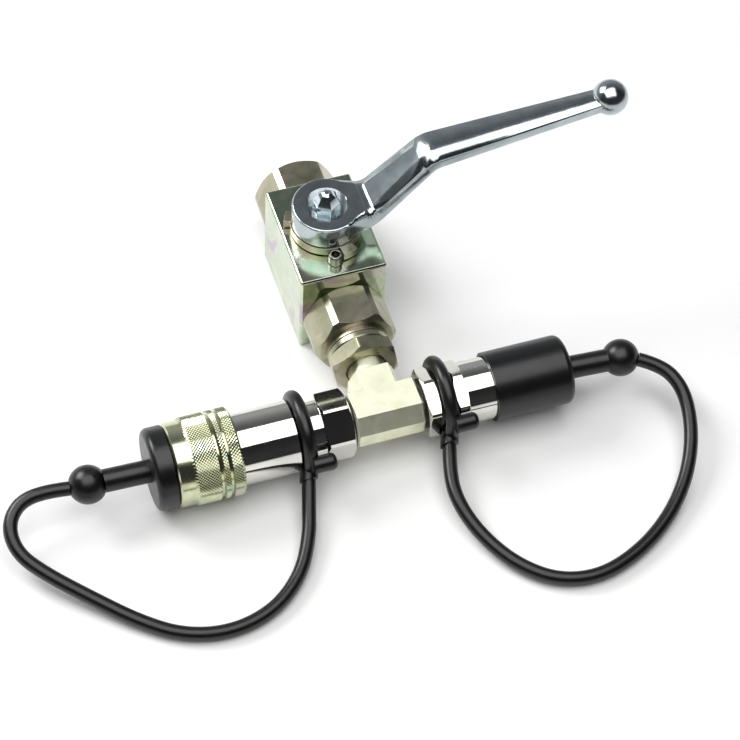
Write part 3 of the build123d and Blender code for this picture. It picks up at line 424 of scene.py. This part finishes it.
def finish_piece(piece, node, finish=None):
    """Lets a piece stand for a node of the model, and move with that node's body."""
    stand_in(piece, node, finish)
    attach(piece, body_of[node])


def merged_copy(node):
    """A copy of a model node, with its doubles joined and its flat faces whole."""
    source = frame["nodes"][node]
    piece = bpy.data.objects.new(node + "_finished", source.data.copy())
    bpy.context.scene.collection.objects.link(piece)
    open_mesh(piece)
    bpy.ops.mesh.remove_doubles(threshold=double_gap)
    bpy.ops.mesh.dissolve_limited(angle_limit=radians(0.4))
    close_mesh()
    return piece


def make_spring(node):
    """A spring, as a smooth-shaded copy of the model's node that stays where the model puts it."""
    piece = merged_copy(node)
    soften(piece, 0, angle=60)
    stand_in(piece, node)
    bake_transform(piece)


def dress(node, edge=0.15 * mm, angle=30, segments=2, clamp=True):
    """A smooth-shaded copy of a model node with softened edges."""
    piece = merged_copy(node)
    soften(piece, edge, segments, angle, clamp)
    finish_piece(piece, node)


def spin_up(name, profile, steps):
    """A piece turned about the run's axis, from its closed outline of (x, radius) points in metres."""
    clear_selection()
    bpy.ops.mesh.primitive_plane_add(size=mm, location=(0, 0, 0))
    piece = bpy.context.object
    piece.name = name
    open_mesh(piece)
    bpy.ops.mesh.merge(type="CENTER")
    spots = [Vector((x, run_y, run_z + radius)) for x, radius in profile]
    bpy.ops.mesh.select_all(action="SELECT")
    bpy.ops.transform.translate(value=spots[0])
    for before, after in zip(spots, spots[1:] + spots[:1]):
        bpy.ops.mesh.extrude_region_move(TRANSFORM_OT_translate={"value": after - before})
    bpy.ops.mesh.select_all(action="SELECT")
    bpy.ops.mesh.spin(steps=steps, angle=2 * pi, center=(0, run_y, run_z), axis=(1, 0, 0))
    close_mesh()
    tidy_mesh(piece)
    return piece


def pick(piece, test):
    """Selects the points that pass a test of their place, and goes into edit mode."""
    open_mesh(piece, "DESELECT")
    bpy.ops.mesh.select_mode(type="VERT")
    close_mesh()
    for vertex in piece.data.vertices:
        vertex.select = bool(test(vertex.co))
    bpy.ops.object.mode_set(mode="EDIT")


def make_sleeve():
    """The sliding sleeve: a plain front band, a diamond-knurled band, and two rings between grooves."""
    low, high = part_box("sleeve")
    front = low[0]
    back = high[0]
    outer = (high[1] - low[1]) / 2
    band = outer - 0.72 * mm
    groove = outer - 1.0 * mm
    front_bevel = 1.0 * mm
    back_bevel = 0.6 * mm
    band_end = front + 5.9 * mm
    # The knurled bands: where each starts and ends, and how many rows it has
    wide_band = (front + 7.4 * mm, front + 15.95 * mm, 14)
    middle_ring = (front + 17.75 * mm, front + 19.6 * mm, 3)
    back_ring = (front + 21.05 * mm, back - 0.7 * mm, 5)
    knurls = (wide_band, middle_ring, back_ring)
    # The bore's steps from the back to the front: where each starts and ends, from the front, and its radius
    spring_room = (back - front, 11.5 * mm, 14.25 * mm)
    ball_land = (11.5 * mm, 6.0 * mm, 12.75 * mm)
    ball_room = (6.0 * mm, 1.6 * mm, 14.1 * mm)
    mouth = (1.6 * mm, 0, 13.5 * mm)

    profile = [(front, band - front_bevel), (front + front_bevel, band), (band_end, band)]
    for start, end, rows in knurls:
        profile.extend((start + (end - start) * row / rows, outer) for row in range(rows + 1))
        if end < back_ring[0]:
            profile.extend([(end + 0.4 * mm, groove), (end + 1.1 * mm, groove)])
    profile.append((back, outer - back_bevel))
    for start, end, radius in (spring_room, ball_land, ball_room, mouth):
        profile.extend([(front + start, radius), (front + end, radius)])
    piece = spin_up("knurled_sleeve", profile, knurl_columns)

    def is_valley(spot):
        """Every other point of a knurled band, set over by one from row to row."""
        across, up = spot.y - run_y, spot.z - run_z
        if hypot(across, up) < outer - hair:
            return False
        column = round(atan2(up, across) / (2 * pi) * knurl_columns)
        for start, end, rows in knurls:
            if start - hair < spot.x < end + hair:
                return (column + round((spot.x - start) / (end - start) * rows)) % 2
        return False

    pick(piece, is_valley)
    push = 1 - knurl_depth / outer
    bpy.ops.transform.resize(value=(1, push, push), center_override=(0, run_y, run_z))
    bpy.ops.mesh.select_all(action="SELECT")
    bpy.ops.mesh.quads_convert_to_tris(quad_method="SHORTEST_DIAGONAL", ngon_method="BEAUTY")
    close_mesh()
    soften(piece, 0)
    finish_piece(piece, "sleeve")


def make_cap_nut():
    """The cap nut: a hexagon whose flats run up into a blunt faceted dome."""
    low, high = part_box("cap_nut")
    middle = ((low[0] + high[0]) / 2, (low[1] + high[1]) / 2, 0)
    # The dome's storeys: how high each rises, and what share of the width below it keeps
    storeys = ((1.5 * mm, 0.86), (1.9 * mm, 0.74), (1.3 * mm, 0.62), (0.5 * mm, 0.5))
    shoulder = high[2] - sum(rise for rise, share in storeys)
    clear_selection()
    bpy.ops.mesh.primitive_cylinder_add(
        vertices=6, radius=(high[1] - low[1]) / 2, depth=shoulder - low[2],
        location=(middle[0], middle[1], (shoulder + low[2]) / 2),
    )
    piece = bpy.context.object
    piece.name = "domed_cap_nut"
    bpy.ops.object.transform_apply(location=True, rotation=True, scale=True)
    pick(piece, lambda spot: spot.z > shoulder - hair)
    for rise, share in storeys:
        bpy.ops.mesh.extrude_region_move(TRANSFORM_OT_translate={"value": (0, 0, rise)})
        bpy.ops.transform.resize(value=(share, share, 1), center_override=middle)
    close_mesh()
    tidy_mesh(piece)
    soften(piece, 0.3 * mm, segments=3, angle=12)
    finish_piece(piece, "cap_nut", finishes["bright_nut"])


def tether_line(name, points):
    """The smooth line that a tether follows, as a curve, and the points along it."""
    curve = bpy.data.curves.new(name, "CURVE")
    curve.dimensions = "3D"
    curve.resolution_u = 16
    spline = curve.splines.new("NURBS")
    spline.points.add(len(points) - 1)
    for point, place in zip(spline.points, points):
        point.co = (*place, 1)
    spline.order_u = 3
    spline.use_endpoint_u = True
    line = bpy.data.objects.new(name, curve)
    bpy.context.scene.collection.objects.link(line)
    bare = bpy.data.meshes.new_from_object(line)
    path = [tuple(v.co) for v in bare.vertices]
    bpy.data.meshes.remove(bare)
    return line, path


def tube_along(name, line, radius):
    """A closed tube round a curve, as a mesh."""
    line.data.bevel_depth = radius
    line.data.bevel_resolution = 8
    line.data.use_fill_caps = True
    piece = bpy.data.objects.new(name, bpy.data.meshes.new_from_object(line))
    bpy.context.scene.collection.objects.link(piece)
    bpy.data.objects.remove(line)
    tidy_mesh(piece)
    soften(piece, 0, angle=60)
    return piece


def make_tether(name, node, route):
    """A tether's free length, as a fixed tube along its route between the coupling and the cover."""
    line, path = tether_line(name + "_line", route)
    piece = tube_along(name, line, cord_radius)
    stand_in(piece, node)
    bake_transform(piece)


place_camera()
make_tether("plug_tether", "plug_cord", plug_cord_route)
make_tether("cap_tether", "cap_cord", cap_cord_route)

for node in (
    "stop_disc", "stop_pin", "nut_washer", "seal_washer", "retaining_wire",
    "socket_body", "nipple_body", "dust_plug", "dust_cap", "plug_loop",
    "cap_loop", "socket_tail_seal", "nipple_tail_seal",
):
    dress(node)
for node in ("connector_rear", "connector_front", "stud_adapter", "socket_tail", "nipple_tail"):
    dress(node, edge=0.12 * mm, angle=14)
dress("valve_body", edge=0.36 * mm, segments=3, clamp=False)
dress("lever", edge=0, angle=50)
dress("tee", edge=0.9 * mm)
make_sleeve()
make_cap_nut()
# The springs' ends: 0 is the end at the lower X, and 1 the end at the higher X
for node, mover, fixed, moving in (
    ("sleeve_spring", "sleeve", 1, 0),
    ("socket_poppet_spring", "socket_valve", 1, 0),
    ("nipple_poppet_spring", "nipple_valve", 0, 1),
):
    make_spring(node)


# Table, background and lamps
def make_table():
    """White paper, which the camera and the metal see a little brighter than its own shading."""
    bpy.ops.mesh.primitive_plane_add(size=6, location=(0, 0, 0))
    table = bpy.context.object
    table.name = "table"
    material, tree, shader, _ = new_finish("white paper", 0.9)
    shader.inputs["Base Color"].default_value = linear("#f2f2f1")
    seen = add_node(tree, "ShaderNodeLightPath")
    either = add_node(tree, "ShaderNodeMath", {"operation": "MAXIMUM"}, {
        0: seen.outputs["Is Camera Ray"], 1: seen.outputs["Is Glossy Ray"],
    })
    lift = add_node(tree, "ShaderNodeMath", {"operation": "MULTIPLY"}, {
        0: either.outputs[0], 1: table_lift,
    })
    shader.inputs["Emission Color"].default_value = linear("#ffffff")
    tree.links.new(lift.outputs[0], shader.inputs["Emission Strength"])
    table.data.materials.append(material)


def softbox(name, spot, aim, size, power):
    """A rectangular lamp, with its size in metres and its power in watts."""
    data = bpy.data.lights.new(name, "AREA")
    data.shape = "RECTANGLE"
    data.size = size[0]
    data.size_y = size[1]
    data.energy = power
    lamp = bpy.data.objects.new(name, data)
    bpy.context.scene.collection.objects.link(lamp)
    lamp.location = spot
    direction = Vector(aim) - Vector(spot)
    lamp.rotation_euler = direction.to_track_quat("-Z", "Y").to_euler()


def make_room():
    """The room that the metal reflects: dark on the camera's side, light on the far side, dim above."""
    world = bpy.data.worlds.new("studio")
    bpy.context.scene.world = world
    world.use_nodes = True
    tree = world.node_tree
    background = tree.nodes["Background"]
    background.inputs["Color"].default_value = linear("#e4e7ec")
    direction = add_node(tree, "ShaderNodeSeparateXYZ", inputs={
        "Vector": tree.nodes.new("ShaderNodeTexCoord").outputs["Generated"],
    })
    depth = add_node(tree, "ShaderNodeMapRange", inputs={
        "Value": direction.outputs["Y"], "From Min": room_rise[0], "From Max": room_rise[1],
        "To Min": room_front, "To Max": room_back,
    })
    height = add_node(tree, "ShaderNodeMapRange", inputs={
        "Value": direction.outputs["Z"], "From Min": room_fall[0], "From Max": room_fall[1],
        "To Min": 1.0, "To Max": ceiling_share,
    })
    strength = add_node(tree, "ShaderNodeMath", {"operation": "MULTIPLY"}, {
        0: depth.outputs["Result"], 1: height.outputs["Result"],
    })
    tree.links.new(strength.outputs[0], background.inputs["Strength"])
    softbox("overhead_softbox", spot=(-0.1, -0.20, 0.95), aim=(-0.1, -0.199, 0), size=(1.2, 0.92), power=9.5)
    softbox("left_softbox", spot=(-0.79, 0.81, 0.98), aim=(0, 0, 0), size=(0.75, 0.72), power=16)


make_table()
make_room()
bpy.context.scene.view_settings.view_transform = "Standard"
